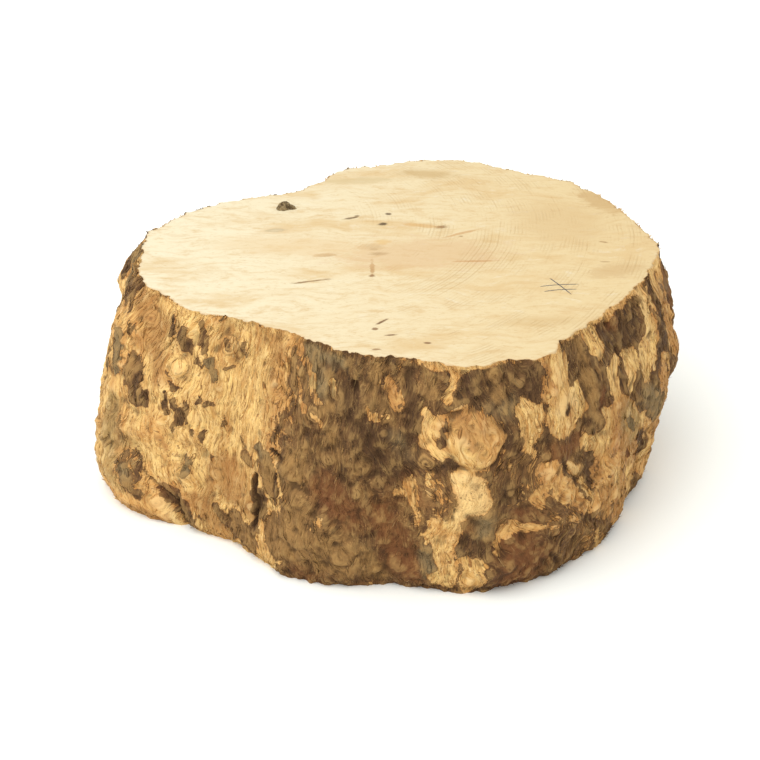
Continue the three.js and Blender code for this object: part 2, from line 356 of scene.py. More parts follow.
# Where the wall stands out further, or less far, as (direction, height, reach round, reach up, rise).
SWELLINGS = [
    (175, 148, 24, 7, 4.0),  # the lip of bark under the upper cut at the left
    (196, 32, 32, 24, 4.5),
    (338, 44, 40, 26, -3.5),
    (308, 22, 26, 20, -1.5),
]

# Cracks, grooves and holes, as (direction and height of each end, half width, depth).
GROOVES = [
    (205.3, 48, 209, 33, 1.8, 1.8),
    (209, 33, 211.4, 27, 2.2, 2.5),
    (211.6, 26, 213.6, 16, 4.5, 5.0),
    (214.4, 24, 213.8, 14, 3.4, 4.0),
    (213.6, 16, 215.4, 1, 4.5, 6.0),
    (240.2, 84.5, 242.6, 80.5, 2.2, 3.5),
    (235.7, 62, 236, 26, 3.0, 4.0),
    (241.8, 70, 241.6, 51, 1.8, 1.6),
    (259.8, 138, 259.9, 136.5, 3.6, 4.0),
    (304.6, 117.5, 305.6, 116.8, 2.2, 1.4),
    (324.8, 151, 325.2, 148, 4.0, 5.0),
    (326.4, 131, 327, 126, 3.0, 4.0),
    (301.2, 21, 303, 11, 3.0, 3.0),
    (302.6, 88, 307.6, 66, 1.4, 1.4),
    (292.2, 148, 292.4, 126, 2.0, 1.4),
    (206.5, 115, 211, 135, 1.6, 1.4),
    (281, 66, 280.8, 58, 1.8, 1.4),
]
SCATTERED_GROOVES = {"count": 60, "direction": (-20, 200), "length": (8, 34), "lean": 2.0,
                     "half_width": (1.8, 3.2), "depth": (1.2, 3.2), "seed": 8}

# The furrow round the great round knob.
FURROW = {"direction": 285.2, "height": 111, "radius": 18.5, "half_width": 1.8, "depth": 1.6}


def noise(points, seed):
    """Smooth noise, mostly from -1 to 1, one cell a unit, at an array of points."""
    draw = np.random.default_rng(seed)
    table = draw.permutation(256)
    slopes = draw.normal(size=(256, 3))
    slopes /= np.linalg.norm(slopes, axis=1)[:, None]
    cell = np.floor(points).astype(int)
    part = points - cell
    fade = part**3 * (part * (part * 6 - 15) + 10)
    total = np.zeros(points.shape[:-1])
    for corner in itertools.product((0, 1), repeat=3):
        x, y, z = np.moveaxis((cell + corner) & 255, -1, 0)
        slope = slopes[table[(table[(table[x] + y) & 255] + z) & 255]]
        weight = np.prod(np.where(corner, fade, 1 - fade), axis=-1)
        total += weight * ((part - corner) * slope).sum(-1)
    return total * 1.7


def rough(points, octaves, seed):
    """Several sizes of noise, one on another."""
    return sum(noise(points * 2**i, seed + i) / 2**i for i in range(octaves))


def step(low, high, value):
    """0 below low, 1 above high, and smooth between."""
    share = np.clip((value - low) / (high - low), 0, 1)
    return share * share * (3 - 2 * share)


def bell(value, width):
    """1 at nothing, falling smoothly to 0 about twice the width away."""
    return np.exp(-((value / width) ** 2))


def blurred(grid, round_reach, up_reach):
    """A wall grid blurred by so many millimetres each way. It closes on itself sideways."""
    waves = np.fft.rfftfreq(SEGMENTS, 2 * math.pi * GIRTH / SEGMENTS)
    kept = np.exp(-2 * (math.pi * waves * round_reach) ** 2)
    soft = np.fft.irfft(np.fft.rfft(grid, axis=1) * kept, SEGMENTS)
    row_height = TOP / ROWS
    half = int(3 * up_reach / row_height) + 1
    weights = np.exp(-0.5 * (np.arange(-half, half + 1) * row_height / up_reach) ** 2)
    weights /= weights.sum()
    padded = np.pad(soft, ((half, half), (0, 0)), mode="edge")
    return sum(weights[i] * padded[i : i + ROWS + 1] for i in range(2 * half + 1))


def along_wall(direction, other):
    """Millimetres round the wall from one direction to another, the short way."""
    return np.radians((direction - other + 180) % 360 - 180) * GIRTH


def on_cylinder(direction, height):
    angle = np.radians(direction)
    return np.stack([GIRTH * np.cos(angle), GIRTH * np.sin(angle), height], axis=-1)


# The wall as a grid: rows up, columns round.
directions = np.arange(SEGMENTS) * 360 / SEGMENTS
heights = np.arange(ROWS + 1) * TOP / ROWS
WALL_DIRECTION, WALL_HEIGHT = np.meshgrid(directions, heights)
WALL = on_cylinder(WALL_DIRECTION, WALL_HEIGHT)


def wall_noise(size, seed, squash=1.0, octaves=1):
    """Noise over the wall, so many millimetres a cell. A squash under 1 draws its cells out upwards."""
    return rough(WALL * (1, 1, squash) / size, octaves, seed)


def off_place(direction, height):
    """How far each point of the wall is from a place on it, round and up."""
    return along_wall(WALL_DIRECTION, direction), WALL_HEIGHT - height


def from_line(start, end, drift_round, drift_up):
    """How far along a line between two places each point of the wall lies, as a share, and how far from it,
    once each point has drifted."""
    off_round, off_up = off_place(*start)
    across, up = off_round + drift_round, off_up + drift_up
    end_across, end_up = along_wall(end[0], start[0]), end[1] - start[1]
    length = math.hypot(end_across, end_up) or 1
    share = np.clip((across * end_across + up * end_up) / length**2, 0, 1)
    return share, np.hypot(across - share * end_across, up - share * end_up)


def cad_radii():
    """The wall's distance from the axis on the solid, with its facets smoothed away."""
    mesh = frame["nodes"][NODE].data
    tree = BVHTree.FromPolygons([v.co for v in mesh.vertices], [p.vertices for p in mesh.polygons])
    inside = 0.4
    radii = np.zeros(WALL_DIRECTION.shape)
    for row, height in enumerate(np.clip(heights, inside, TOP - inside)):
        start = Vector((AXIS[0], AXIS[1], height)) * MM
        for column, angle in enumerate(np.radians(directions)):
            hit = tree.ray_cast(start, Vector((math.cos(angle), math.sin(angle), 0)))
            radii[row, column] = hit[3] / MM
    return blurred(radii, *FACETS_BLURRED)


def torn_share():
    """How much of the upper edge is torn down to bare wood."""
    share = 0.3 + 0.5 * wall_noise(14, 66)
    for direction, reach in TORN_RIM:
        share = share + bell(along_wall(WALL_DIRECTION, direction), reach)
    return np.clip(share, 0, 0.9)


def painted():
    """The kind of surface all over the wall: bark, paleness, warmth and greyness."""
    share = np.interp(WALL_DIRECTION, *zip(*BARK_SHARE, (360, BARK_SHARE[0][1])))
    bark = step(0.4, 0.6, share + 0.5 * wall_noise(30, 21, squash=0.55, octaves=3))
    # small leaf-shaped scraps of bark that are left on the wood
    scraps = step(0.5, 0.62, wall_noise(7.5, 26, squash=0.45, octaves=2) + 0.25 * wall_noise(40, 27))
    bark = np.maximum(bark, 0.8 * scraps)
    pale = 0.5 * wall_noise(26, 31, squash=0.55, octaves=2)
    warm = step(0.1, 0.7, wall_noise(38, 41, octaves=2)) * 0.7
    grey = step(0.25, 0.8, wall_noise(42, 51, octaves=2)) * 0.7
    fields = np.stack([bark, pale, warm, grey])
    drift_round = 2.2 * wall_noise(13, 61) + 1.9 * wall_noise(5.0, 62)
    drift_up = 3.0 * wall_noise(15, 63) + 2.6 * wall_noise(5.5, 64)
    for kind, direction_1, height_1, direction_2, height_2, radius_1, radius_2 in PATCHES:
        line = (direction_1, height_1), (direction_2, height_2)
        share, distance = from_line(*line, drift_round, drift_up)
        depth = radius_1 + (radius_2 - radius_1) * share - distance
        edge = min(3.2, max(radius_1, radius_2) / 2)
        soft_edge = 0.6 * max(radius_1, radius_2)
        covers = (step(-edge, edge, depth), *[step(-soft_edge, soft_edge, depth)] * 3)
        for field, target, cover in zip(fields, KINDS[kind], covers):
            field += cover * (target - field)
    fields[1] += 0.22 * wall_noise(9, 33, squash=0.5, octaves=2)
    # a torn band of bare wood under the upper cut
    torn = step(TOP - 3.4, TOP - 1.4, WALL_HEIGHT + 1.6 * wall_noise(5, 65))
    fields += torn_share() * torn * (np.array((0.0, 0.3, 0.5, 0.0))[:, None, None] - fields)
    return fields


def scattered_eyes():
    """The eyes, with more of them all over the wall that keep clear of one another."""
    draw = np.random.default_rng(SCATTERED_EYES["seed"])
    eyes = list(EYES)
    for _ in range(SCATTERED_EYES["tries"]):
        direction, height = draw.uniform(0, 360), draw.uniform(3, TOP - 3)
        radius = draw.uniform(*SCATTERED_EYES["radius"])
        rise = draw.uniform(*SCATTERED_EYES["rise"])
        rings = draw.uniform(*SCATTERED_EYES["rings"])
        apart = [math.hypot(along_wall(direction, e[0]), height - e[1]) - e[2] - radius for e in eyes]
        if min(apart) > 1:
            eyes.append((direction, height, radius, rise, rings))
    return eyes


def scattered_grooves():
    """The grooves, with more of them on the sides that the photograph doesn't show."""
    draw = np.random.default_rng(SCATTERED_GROOVES["seed"])
    grooves = list(GROOVES)
    for _ in range(SCATTERED_GROOVES["count"]):
        direction, height = draw.uniform(*SCATTERED_GROOVES["direction"]), draw.uniform(0, TOP)
        length = draw.uniform(*SCATTERED_GROOVES["length"])
        lean = draw.normal(0, SCATTERED_GROOVES["lean"])
        width = draw.uniform(*SCATTERED_GROOVES["half_width"])
        depth = draw.uniform(*SCATTERED_GROOVES["depth"])
        grooves.append((direction, height, direction + lean, height - length, width, depth))
    return grooves


fields = painted()
bark = fields[0]
eyes = scattered_eyes()


def grain_flow():
    """How far the grain wanders across and along at each point, with the fibres parted round the eyes, and
    how far each point is from the middle of the nearest eye, in that eye's radii, with how plain its rings
    are."""
    across = 11 * wall_noise(58, 71, squash=0.8) + 4.4 * wall_noise(20, 72, squash=0.7)
    across = across + 1.5 * wall_noise(8, 75, squash=0.7)
    along = 14 * wall_noise(55, 73) + 3.5 * wall_noise(17, 74)
    # the slanting fibres low at the right
    off_round, off_up = off_place(306, 55)
    across = across + 0.8 * bell(off_round, 38) * bell(off_up, 38) * (WALL_HEIGHT - 60)
    ring = np.full(WALL_DIRECTION.shape, NO_EYE)
    plainness = np.zeros(WALL_DIRECTION.shape)
    wobble = wall_noise(3.5, 76)
    for direction, height, radius, _, rings in eyes:
        off_round, off_up = off_place(direction, height)
        reach = np.hypot(off_round, off_up) / radius
        pull = 0.85 * bell(reach, 1.5)
        across = across - pull * off_round
        along = along - pull * off_up
        reach = reach + 0.1 * wobble
        nearer = reach < ring
        ring = np.where(nearer, reach, ring)
        plainness = np.where(nearer, rings, plainness)
    return across, along, ring, plainness


flow_across, flow_along, ring, plainness = grain_flow()
grain = on_cylinder(WALL_DIRECTION + np.degrees(flow_across / GIRTH), WALL_HEIGHT + flow_along)


def fine_relief():
    """What stands out of the smoothed solid, in millimetres."""
    wood = 1 - bark
    lumps = (0.7 + 0.6 * bark) * (1.7 * wall_noise(12, 81) + 1.0 * wall_noise(5.4, 82, octaves=2))
    ridges = 1 - 2 * np.abs(noise(grain * (1, 1, 0.2) / 8.0, 83))
    fine_ridges = 1 - 2 * np.abs(noise(grain * (1, 1, 0.25) / 3.8, 84))
    fibres = (0.2 + 0.35 * wood) * ridges + (0.2 + 0.1 * wood) * fine_ridges
    relief = 1.1 * bark + lumps + fibres
    for direction, height, radius, rise, _ in eyes:
        reach = np.hypot(*off_place(direction, height)) / radius
        dome = rise * np.clip(1 - reach**2, 0, 1) - 0.3 * rise * bell(reach, 0.3)
        relief = relief + dome - 0.4 * bell(reach - 1.1, 0.18)
    relief = relief - blurred(relief, RELIEF_LEVEL, RELIEF_LEVEL)
    uneven = 1 + 0.35 * wall_noise(6, 88)
    for direction, height, reach_round, reach_up, rise in SWELLINGS:
        off_round, off_up = off_place(direction, height)
        relief = relief + rise * uneven * bell(off_round, reach_round) * bell(off_up, reach_up)
    off_furrow = np.hypot(*off_place(FURROW["direction"], FURROW["height"]))
    off_furrow = off_furrow - FURROW["radius"] + 3.0 * wall_noise(12, 87)
    furrow_depth = FURROW["depth"] * np.clip(0.7 + 1.2 * wall_noise(14, 89), 0, 1.4)
    relief = relief - furrow_depth * bell(off_furrow, FURROW["half_width"])
    drift_round = 1.2 * wall_noise(7, 86)
    for direction_1, height_1, direction_2, height_2, half_width, depth in scattered_grooves():
        line = (direction_1, height_1), (direction_2, height_2)
        _, distance = from_line(*line, drift_round, 0)
        relief = relief - depth * np.clip(1 - (distance / half_width) ** 2, 0, 1) ** 1.5
    # the edges of the cuts are chipped and torn
    rim = bell(TOP - WALL_HEIGHT, CUT_EDGE) + bell(WALL_HEIGHT, CUT_EDGE)
    chips = 0.9 * wall_noise(6, 92, squash=0) + 0.8 * wall_noise(2.6, 93, squash=0)
    tears = 2.6 * torn_share() * wall_noise(10, 94, squash=0)
    return relief + rim * (chips + tears)


relief = fine_relief()
cavity = np.clip((relief - blurred(relief, CAVITY_REACH, CAVITY_REACH)) / CAVITY_DEPTH, -1, 1)
radii = cad_radii() + relief


def wall_points():
    angle = np.radians(WALL_DIRECTION)
    x = AXIS[0] + radii * np.cos(angle)
    y = AXIS[1] + radii * np.sin(angle)
    z = WALL_HEIGHT.copy()
    z[-1] -= 1.5 * np.clip(rough(WALL[-1] / 7, 2, 91) - 0.1, 0, 1)  # chips out of the upper edge
    return np.stack([x, y, z], axis=-1)


wall = wall_points()


def wall_normals():
    round_wall = np.roll(wall, -1, axis=1) - np.roll(wall, 1, axis=1)
    up_wall = np.gradient(wall, axis=0)
    facing = np.cross(round_wall, up_wall)
    parts = [blurred(facing[..., i], NORMALS_BLURRED, NORMALS_BLURRED) for i in range(3)]
    facing = np.stack(parts, axis=-1)
    return facing / np.linalg.norm(facing, axis=-1, keepdims=True)


normals = wall_normals()


def sample(grid, direction, height):
    """A wall grid's value at any directions and heights."""
    column = (direction % 360) / 360 * SEGMENTS
    row = np.clip(height / TOP * ROWS, 0, ROWS - 1e-6)
    left, low = np.floor(column).astype(int), np.floor(row).astype(int)
    share_round, share_up = column - left, row - low
    if grid.ndim == 3:
        share_round, share_up = share_round[..., None], share_up[..., None]
    left, right = left % SEGMENTS, (left + 1) % SEGMENTS
    lower = grid[low, left] * (1 - share_round) + grid[low, right] * share_round
    upper = grid[low + 1, left] * (1 - share_round) + grid[low + 1, right] * share_round
    return lower * (1 - share_up) + upper * share_up


# Node building


class Shader:
    """A material's nodes, made by short calls that return sockets."""

    def __init__(self, name, light):
        self.material = bpy.data.materials.new(name)
        self.material.use_nodes = True
        self.tree = self.material.node_tree
        self.surface = self.tree.nodes["Principled BSDF"]
        self.surface.inputs["Specular IOR Level"].default_value = SPECULAR
        self.light = light

    def place(self):
        """The place on the object, in millimetres."""
        return self.scaled(self.add("TexCoord").outputs["Object"], (1 / MM, 1 / MM, 1 / MM))

    def seen(self, red, green, blue):
        """The surface colour that shows as this one, from 0 to 255, under the light that falls on it."""
        levels = [channel / 255 for channel in (red, green, blue)]
        linear = [c / 12.92 if c <= 0.04045 else ((c + 0.055) / 1.055) ** 2.4 for c in levels]
        return (*[value / self.light for value in linear], 1.0)

    def add(self, kind, *values, **settings):
        node = self.tree.nodes.new("ShaderNode" + kind)
        for name, value in settings.items():
            setattr(node, name, value)
        for socket, value in zip(node.inputs, values):
            self.put(socket, value)
        return node

    def put(self, socket, value):
        if isinstance(value, bpy.types.NodeSocket):
            self.tree.links.new(value, socket)
        elif value is not None:
            socket.default_value = value

    def attribute(self, name):
        return self.add("Attribute", attribute_name=name)

    def noise(self, vector, size, detail=2.0, roughness=0.5, output="Fac"):
        node = self.add("TexNoise")
        self.put(node.inputs["Vector"], vector)
        node.inputs["Scale"].default_value = 1 / size
        node.inputs["Detail"].default_value = detail
        node.inputs["Roughness"].default_value = roughness
        return node.outputs[output]

    def math(self, operation, a, b=None, c=None):
        return self.add("Math", a, b, c, operation=operation).outputs[0]

    def times(self, a, b):
        return self.math("MULTIPLY", a, b)

    def total(self, *terms):
        """The sum of (value, factor) pairs."""
        result = 0.0
        for value, factor in terms:
            result = self.math("MULTIPLY_ADD", value, factor, result)
        return result

    def scaled(self, vector, factors):
        return self.add("VectorMath", vector, factors, operation="MULTIPLY").outputs[0]

    def moved(self, vector, size, reach):
        """A vector pushed about by noise of one size, by up to about half of so much each way."""
        push = self.noise(vector, size, 1.0, output="Color")
        centred = self.add("VectorMath", push, (0.5, 0.5, 0.5), operation="SUBTRACT").outputs[0]
        return self.add("VectorMath", centred, reach, vector, operation="MULTIPLY_ADD").outputs[0]

    def ramp(self, value, low, high, to_low=0.0, to_high=1.0):
        node = self.add("MapRange", value, low, high, to_low, to_high, interpolation_type="SMOOTHSTEP")
        return node.outputs[0]

    def mix(self, first, second, share):
        return self.add("MixRGB", share, first, second).outputs[0]

    def layered(self, colour, layers):
        """A colour under layers, each as (colour as seen, value, low, high, strength): a layer shows with its
        whole strength where the value reaches high, and not at all before low."""
        for layer_colour, value, low, high, strength in layers:
            colour = self.mix(colour, self.seen(*layer_colour), self.ramp(value, low, high, 0.0, strength))
        return colour

    def bump(self, height, depth):
        """A bump so many millimetres deep where the height goes from 0 to 1."""
        node = self.add("Bump")
        node.inputs["Strength"].default_value = 1.0
        node.inputs["Distance"].default_value = depth * MM
        self.put(node.inputs["Height"], height)
        return node.outputs[0]

    def finish(self, colour, roughness, normal=None):
        for name, value in (("Base Color", colour), ("Roughness", roughness), ("Normal", normal)):
            self.put(self.surface.inputs[name], value)
        return self.material


def wall_material():
    """Fibrous wood where the burl is bare, rough bark where it isn't."""
    s = Shader("burl_wall", WALL_LIGHT)
    flow = s.attribute("grain").outputs["Vector"]
    skin = s.attribute("skin")
    parts = s.add("SeparateColor", skin.outputs["Color"])
    field, tone, warmth = parts.outputs[0], parts.outputs[1], parts.outputs[2]
    greyness = skin.outputs["Alpha"]
    hollow = s.attribute("cavity").outputs["Fac"]
    strand = s.attribute("strand").outputs["Fac"]
    eye_parts = s.add("SeparateXYZ", s.attribute("eye").outputs["Vector"])
    eye, plain_rings = eye_parts.outputs[0], eye_parts.outputs[1]

    # fibres that twist a little on their way up
    twisted = s.moved(flow, 11.0, (4.2, 4.2, 4.2))
    twisted = s.moved(twisted, 2.6, (1.3, 1.3, 1.3))
    streaks = s.noise(s.scaled(twisted, (1, 1, 0.2)), 4.6, 4.0, 0.6)
    threads = s.noise(s.scaled(twisted, (1, 1, 0.17)), 1.15, 3.0, 0.65)
    mottle = s.noise(s.scaled(twisted, (1, 1, 0.5)), 3.2, 4.0, 0.68)
    creases = s.noise(s.scaled(twisted, (1, 1, 0.22)), 2.7, 3.0, 0.6)
    middling = s.noise(s.scaled(twisted, (1, 1, 0.36)), 7.0, 4.0, 0.6)
    broad = s.noise(s.scaled(twisted, (1, 1, 0.4)), 17, 3.0, 0.55)
    speckle = s.noise(s.scaled(twisted, (1, 1, 0.6)), 1.7, 3.0, 0.6)
    clusters = s.noise(flow, 15, 2.0)
    grit = s.noise(flow, 0.9, 2.0, 0.65)

    # ragged edges between bark and wood
    ragged = s.total((mottle, 1.5), (streaks, 1.0), (threads, 0.5), (1.0, -1.5))
    reached = s.math("ADD", field, ragged)
    covered = s.ramp(reached, 0.45, 0.55)

    wood = s.mix(s.seen(202, 153, 85), s.seen(238, 197, 123), s.ramp(streaks, 0.36, 0.56))
    wood = s.layered(wood, [
        ((243, 208, 140), mottle, 0.5, 0.66, 0.7),
        # painted highlight on the crests of the creases, and painted shade in their fissures
        ((244, 210, 142), creases, 0.54, 0.66, 0.5),
        ((112, 72, 36), creases, 0.42, 0.32, 0.8),
        ((170, 118, 62), middling, 0.5, 0.64, 0.5),
        ((150, 98, 48), threads, 0.47, 0.32, 0.75),
        ((250, 220, 158), threads, 0.54, 0.68, 0.5),
        ((190, 128, 64), broad, 0.5, 0.68, 0.5),
        ((238, 200, 136), tone, 0.1, 0.9, 0.6),
        ((142, 98, 52), tone, 0.0, -0.9, 0.7),
    ])
    wood = s.mix(wood, s.seen(196, 132, 66), s.times(warmth, 0.5))
    wood = s.mix(wood, s.seen(146, 120, 74), s.times(greyness, 0.65))
    wood = s.layered(wood, [((184, 120, 58), reached, 0.1, 0.45, 0.45)])
    specks = s.times(s.ramp(speckle, 0.58, 0.66), s.ramp(clusters, 0.46, 0.6))
    wood = s.mix(wood, s.seen(112, 76, 40), s.times(specks, 0.75))
    # painted highlight: the raised places of the bare wood are painted paler
    wood = s.layered(wood, [((242, 208, 146), hollow, 0.15, 1.0, 0.35)])

    crust = s.mix(s.seen(82, 55, 32), s.seen(123, 88, 50), s.ramp(mottle, 0.34, 0.66))
    crust = s.layered(crust, [
        ((152, 114, 65), middling, 0.5, 0.66, 0.5),
        ((78, 54, 34), broad, 0.5, 0.34, 0.4),
        ((56, 39, 24), threads, 0.47, 0.32, 0.5),
        # painted highlight on the crests of the creases, and painted shade in their fissures
        ((172, 136, 82), creases, 0.53, 0.66, 0.6),
        ((46, 32, 20), creases, 0.44, 0.32, 0.8),
    ])
    bright_grit = s.times(s.ramp(grit, 0.57, 0.68), s.ramp(clusters, 0.44, 0.6, 0.1, 0.6))
    crust = s.mix(crust, s.seen(196, 154, 94), bright_grit)
    crust = s.layered(crust, [
        ((178, 136, 78), tone, 0.05, 0.9, 0.68),
        ((76, 53, 33), tone, -0.05, -0.9, 0.6),
    ])
    crust = s.mix(crust, s.seen(126, 76, 40), s.times(warmth, 0.62))
    crust = s.mix(crust, s.seen(146, 130, 94), s.times(greyness, 0.55))
    # the raised lumps of the bark are painted paler: partly worn bark, partly painted highlight
    crust = s.layered(crust, [((166, 130, 78), hollow, 0.1, 0.9, 0.5)])
    colour = s.mix(wood, crust, covered)

    # eyes: rings and a dark middle
    rings = s.math("SINE", s.times(eye, 15.0))
    in_eye = s.times(s.ramp(eye, 1.15, 0.9), plain_rings)
    colour = s.mix(colour, s.seen(84, 56, 30), s.times(s.ramp(rings, 0.2, 0.9), in_eye))
    pale_rings = s.times(s.ramp(rings, -0.2, -0.9, 0.0, 0.6), in_eye)
    colour = s.mix(colour, s.seen(196, 152, 92), pale_rings)
    dot = s.times(s.ramp(eye, 0.25, 0.1), s.times(plain_rings, 1.4))
    colour = s.mix(colour, s.seen(70, 44, 24), dot)

    # painted shade: the hollows are painted dark; and each loose fibre has a tone of its own
    colour = s.layered(colour, [
        ((66, 44, 24), hollow, -0.15, -1.0, 0.7),
        ((240, 204, 140), strand, 0.1, 1.0, 0.5),
        ((96, 66, 36), strand, -0.1, -1.0, 0.5),
    ])

    height = s.total((streaks, 0.5), (threads, 0.3), (mottle, 0.6), (middling, 0.8), (creases, 0.7),
                     (grit, 0.1), (covered, 0.3))
    height = s.math("SUBTRACT", height, s.times(s.times(rings, in_eye), 0.25))
    return s.finish(colour, s.ramp(covered, 0, 1, 0.7, 0.82), s.bump(height, 2.1))


# Marks on the upper cut, as (x, y, half length, half width, turn in degrees, colour as seen, strength).
CUT_MARKS = [
    (-77, 39, 12, 7, 5, (236, 206, 156), 0.6),
    (-77, 39, 6.5, 3.2, 5, (205, 186, 148), 0.8),
    (-77, 38.5, 4.5, 2, 5, (232, 212, 170), 0.7),
    (-4, 49, 4.2, 3.2, 20, (98, 78, 52), 0.95),
    (0, 65, 2.2, 1.8, 0, (110, 86, 56), 0.85),
    (-26, 58, 7, 1.6, 22, (120, 92, 56), 0.8),
    (-22, 61, 3, 1.8, 50, (130, 100, 62), 0.7),
    (-11, 12, 9, 5.5, 0, (204, 178, 132), 0.65),
    (-10, 9, 2.5, 1.5, 0, (120, 100, 72), 0.7),
    (-7, 2, 7, 3.0, 5, (180, 154, 112), 0.75),
    (-4, 20, 6, 5, 0, (238, 196, 120), 0.6),
    (36, 44, 5, 3.4, 0, (150, 108, 62), 0.8),
    (24, 46, 13, 3, -12, (222, 170, 96), 0.6),
    (50, 34, 16, 1.6, 28, (208, 150, 84), 0.6),
    (-11, -20, 13, 1.6, 90, (196, 150, 92), 0.75),
    (-11, -30, 2.2, 2.6, 90, (150, 104, 56), 0.8),
    (-49, -38, 12, 1.5, 14, (150, 110, 62), 0.85),
    (-41, 0, 8, 3, 8, (196, 156, 104), 0.75),
    (-5, -94, 6, 1.4, 48, (120, 78, 40), 0.9),
    (-9, -103, 2, 1.8, 0, (140, 96, 54), 0.8),
    (1, -111, 4, 1.3, 4, (120, 78, 40), 0.85),
    (23, -121, 2.4, 1.2, 0, (130, 84, 44), 0.8),
    (-8, -129, 2.6, 1.2, 10, (150, 104, 58), 0.7),
    (145, 20, 4, 1.2, -20, (170, 128, 80), 0.7),
    (143, -10, 4, 1.0, 0, (170, 128, 80), 0.6),
    (49, 29, 2, 1.2, 0, (150, 110, 64), 0.7),
    (56, -9, 16, 0.9, 1, (200, 134, 66), 0.85),
    (28, 134, 22, 8, -6, (216, 184, 128), 0.75),
    (-22, 122, 30, 6, 4, (226, 202, 152), 0.7),
    (20, 2, 60, 26, 4, (228, 186, 134), 0.5),
    (-60, 14, 62, 16, -4, (240, 208, 156), 0.45),
    (118, 52, 34, 40, 20, (226, 192, 136), 0.5),
    (150, 86, 26, 12, 118, (208, 168, 108), 0.6),
    (92, -94, 26, 8, 4, (224, 190, 132), 0.5),
    (150, -22, 22, 10, 20, (214, 176, 120), 0.5),
]
SAW_CENTRE = (-86, 55)  # that the saw marks curve round
SAW_PITCH = 2.5
SAW_CAUGHT = 157  # how far from there the deeper marks are


def sawn_material(name, marks, dullness):
    """Pale end grain, sawn across: soft streaks, curved saw marks and small dark marks."""
    s = Shader(name, TOP_LIGHT)
    place = s.place()
    swirl = s.moved(place, 45, (14, 24, 0))
    along_streaks = s.scaled(swirl, (0.16, 1, 1))
    streaks = s.noise(along_streaks, 4, 4.0, 0.62)
    broad = s.noise(s.scaled(swirl, (0.4, 1, 1)), 30, 4.0, 0.6)
    mottle = s.noise(s.scaled(swirl, (0.5, 1, 1)), 7, 4.0, 0.68)
    fine = s.noise(s.scaled(place, (0.35, 1, 1)), 1.4, 3.0, 0.65)

    parts = s.add("SeparateXYZ", place)
    x, y = parts.outputs[0], parts.outputs[1]
    # lighter at the left, darker and warmer towards the right
    colour = s.mix(s.seen(254, 241, 205), s.seen(243, 218, 166), s.ramp(x, -160, 160))
    colour = s.layered(colour, [
        ((234, 200, 142), broad, 0.48, 0.7, 0.75),
        ((230, 196, 140), mottle, 0.5, 0.7, 0.5),
        ((224, 186, 128), streaks, 0.5, 0.68, 0.34),
        ((255, 246, 218), mottle, 0.44, 0.3, 0.3),
        ((216, 178, 120), fine, 0.54, 0.72, 0.42),
    ])

    for mark_x, mark_y, length, width, turn, mark_colour, strength in marks:
        node = s.add("Mapping", place, (mark_x, mark_y, TOP), (0, 0, math.radians(turn)),
                     (length, width, 1000), vector_type="TEXTURE")
        reach = s.add("VectorMath", node.outputs[0], operation="LENGTH").outputs["Value"]
        reach = s.total((reach, 1.0), (mottle, 2.0), (fine, 1.2), (1.0, -1.6))
        colour = s.layered(colour, [(mark_colour, reach, 1.2, 0.5, strength)])

    # saw marks, in patches, and deeper where the blade caught
    from_saw = s.add("VectorMath", place, (*SAW_CENTRE, TOP), operation="DISTANCE").outputs["Value"]
    wavering = s.total((from_saw, 1.0), (s.noise(place, 40, 1.0), 4.0), (fine, 0.8))
    saw = s.math("SINE", s.times(wavering, 2 * math.pi / SAW_PITCH))
    each_pass = s.noise(s.add("CombineXYZ", wavering).outputs[0], SAW_PITCH * 0.9, 2.0)
    patches = s.ramp(s.noise(s.scaled(place, (1, 0.8, 1)), 22, 4.0, 0.62), 0.47, 0.62)
    across_face = s.ramp(x, -60, 60, 0.2, 1.0)
    caught = s.ramp(s.math("ABSOLUTE", s.math("SUBTRACT", from_saw, SAW_CAUGHT)), 16, 6)
    caught = s.times(caught, s.times(s.ramp(y, 50, 25), s.ramp(y, -70, -45)))
    saw_strength = s.times(patches, across_face)
    saw_strength = s.math("MAXIMUM", saw_strength, caught)
    saw_strength = s.times(saw_strength, s.ramp(each_pass, 0.38, 0.6))
    dark_lines = s.times(s.ramp(saw, 0.1, 0.9, 0.0, 0.36), saw_strength)
    colour = s.mix(colour, s.seen(202, 162, 102), dark_lines)

    edge = s.attribute("edge").outputs["Fac"]
    rim = s.ramp(s.total((edge, 1.0), (mottle, 3.0), (fine, 1.5)), 3.6, 2.2, 0.0, 0.4)
    colour = s.mix(colour, s.seen(206, 150, 84), rim)
    colour = s.mix(colour, s.seen(190, 154, 104), dullness)

    saw_depth = s.times(saw, saw_strength)
    height = s.total((saw_depth, -0.6), (fine, 0.7), (streaks, 0.6), (rim, -0.8))
    return s.finish(colour, 0.75, s.bump(height, 0.22))


# The body, whose faces are of these kinds.
WALL_FACE, UPPER_FACE, LOWER_FACE = 0, 1, 2


def new_mesh(name, points, faces):
    mesh = bpy.data.meshes.new(name)
    mesh.from_pydata((np.asarray(points) * MM).tolist(), [], faces)
    return mesh


def grid_faces(rows, start=0):
    """The quads of rows of SEGMENTS points, closed round."""
    column = np.arange(SEGMENTS)
    below = start + np.arange(rows - 1)[:, None] * SEGMENTS + column
    beside = start + np.arange(rows - 1)[:, None] * SEGMENTS + (column + 1) % SEGMENTS
    return np.stack([below, beside, beside + SEGMENTS, below + SEGMENTS], axis=-1).reshape(-1, 4)


def cut_rings(edge, height):
    """The rings of a sawn face inside its edge."""
    rings = []
    for share in CUT_RINGS[1:]:
        ring_points = np.array(AXIS) + share * (edge[:, :2] - AXIS)
        rings.append(np.column_stack([ring_points, np.full(SEGMENTS, height)]))
    return rings


